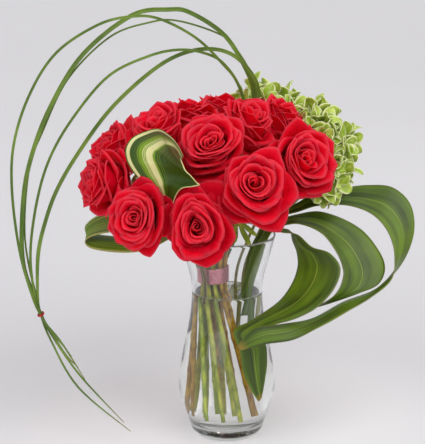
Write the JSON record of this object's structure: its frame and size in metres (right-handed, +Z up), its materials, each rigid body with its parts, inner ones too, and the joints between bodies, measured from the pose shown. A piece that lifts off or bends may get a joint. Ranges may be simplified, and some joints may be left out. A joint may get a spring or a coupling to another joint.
{
  "type": "rose bouquet in a glass vase",
  "caption": "Tied bouquet of red roses with looped strap leaves, variegated sprigs and arching tied grass, standing in a waisted clear glass vase with water",
  "frame": {"origin": "middle of the vase's foot, on the ground", "axes": "+Z up; the arrangement's front looks along -Y; the long looped leaves reach to +X and the tied grass to -X"},
  "size_m": [0.3898, 0.2353, 0.4205],
  "materials": {
    "vase_glass": "clear, polished, smooth pressed glass with a thick foot",
    "water": "clear still water (liquid, shown as a body)",
    "wrap_wire": "anodised pink wire with a bright sparkle",
    "rose_petal": "velvety red petals with a soft sheen",
    "rose_stem": "smooth green to brown woody stem",
    "aspidistra_leaf": "satin dark green leaf with fine lengthwise veins",
    "striped_leaf": "satin green leaf with cream margins and light stripes",
    "grass_leaf": "satin green grass blade with a keel",
    "tie_wire": "anodised red wire",
    "sprig_leaf": "glossy light green leaf with cream edges"
  },
  "bodies": {
    "root": {"aspidistra_loop_inner": "aspidistra_leaf", "aspidistra_loop_middle": "aspidistra_leaf", "aspidistra_loop_outer": "aspidistra_leaf", "grass_blade_01": "grass_leaf", "grass_blade_02": "grass_leaf", "grass_blade_03": "grass_leaf", "grass_blade_04": "grass_leaf", "grass_blade_05": "grass_leaf", "grass_tie": "tie_wire", "pittosporum_sprig_01": "sprig_leaf", "pittosporum_sprig_02": "sprig_leaf", "pittosporum_sprig_03": "sprig_leaf", "pittosporum_sprig_04": "sprig_leaf", "pittosporum_sprig_05": "sprig_leaf", "rose_bloom_01": "rose_petal", "rose_bloom_02": "rose_petal", "rose_bloom_03": "rose_petal", "rose_bloom_04": "rose_petal", "rose_bloom_05": "rose_petal", "rose_bloom_06": "rose_petal", "rose_bloom_07": "rose_petal", "rose_bloom_08": "rose_petal", "rose_bloom_09": "rose_petal", "rose_bloom_10": "rose_petal", "rose_bloom_11": "rose_petal", "rose_bloom_12": "rose_petal", "rose_bloom_13": "rose_petal", "rose_bloom_14": "rose_petal", "rose_bloom_15": "rose_petal", "rose_bloom_16": "rose_petal", "rose_stem_01": "rose_stem", "rose_stem_02": "rose_stem", "rose_stem_03": "rose_stem", "rose_stem_04": "rose_stem", "rose_stem_05": "rose_stem", "rose_stem_06": "rose_stem", "rose_stem_07": "rose_stem", "rose_stem_08": "rose_stem", "rose_stem_09": "rose_stem", "rose_stem_10": "rose_stem", "rose_stem_11": "rose_stem", "rose_stem_12": "rose_stem", "rose_stem_13": "rose_stem", "rose_stem_14": "rose_stem", "rose_stem_15": "rose_stem", "rose_stem_16": "rose_stem", "striped_loop_front": "striped_leaf", "striped_loop_left": "striped_leaf", "vase": "vase_glass", "water": "water", "wire_wrap": "wrap_wire"}
  },
  "joints": []
}
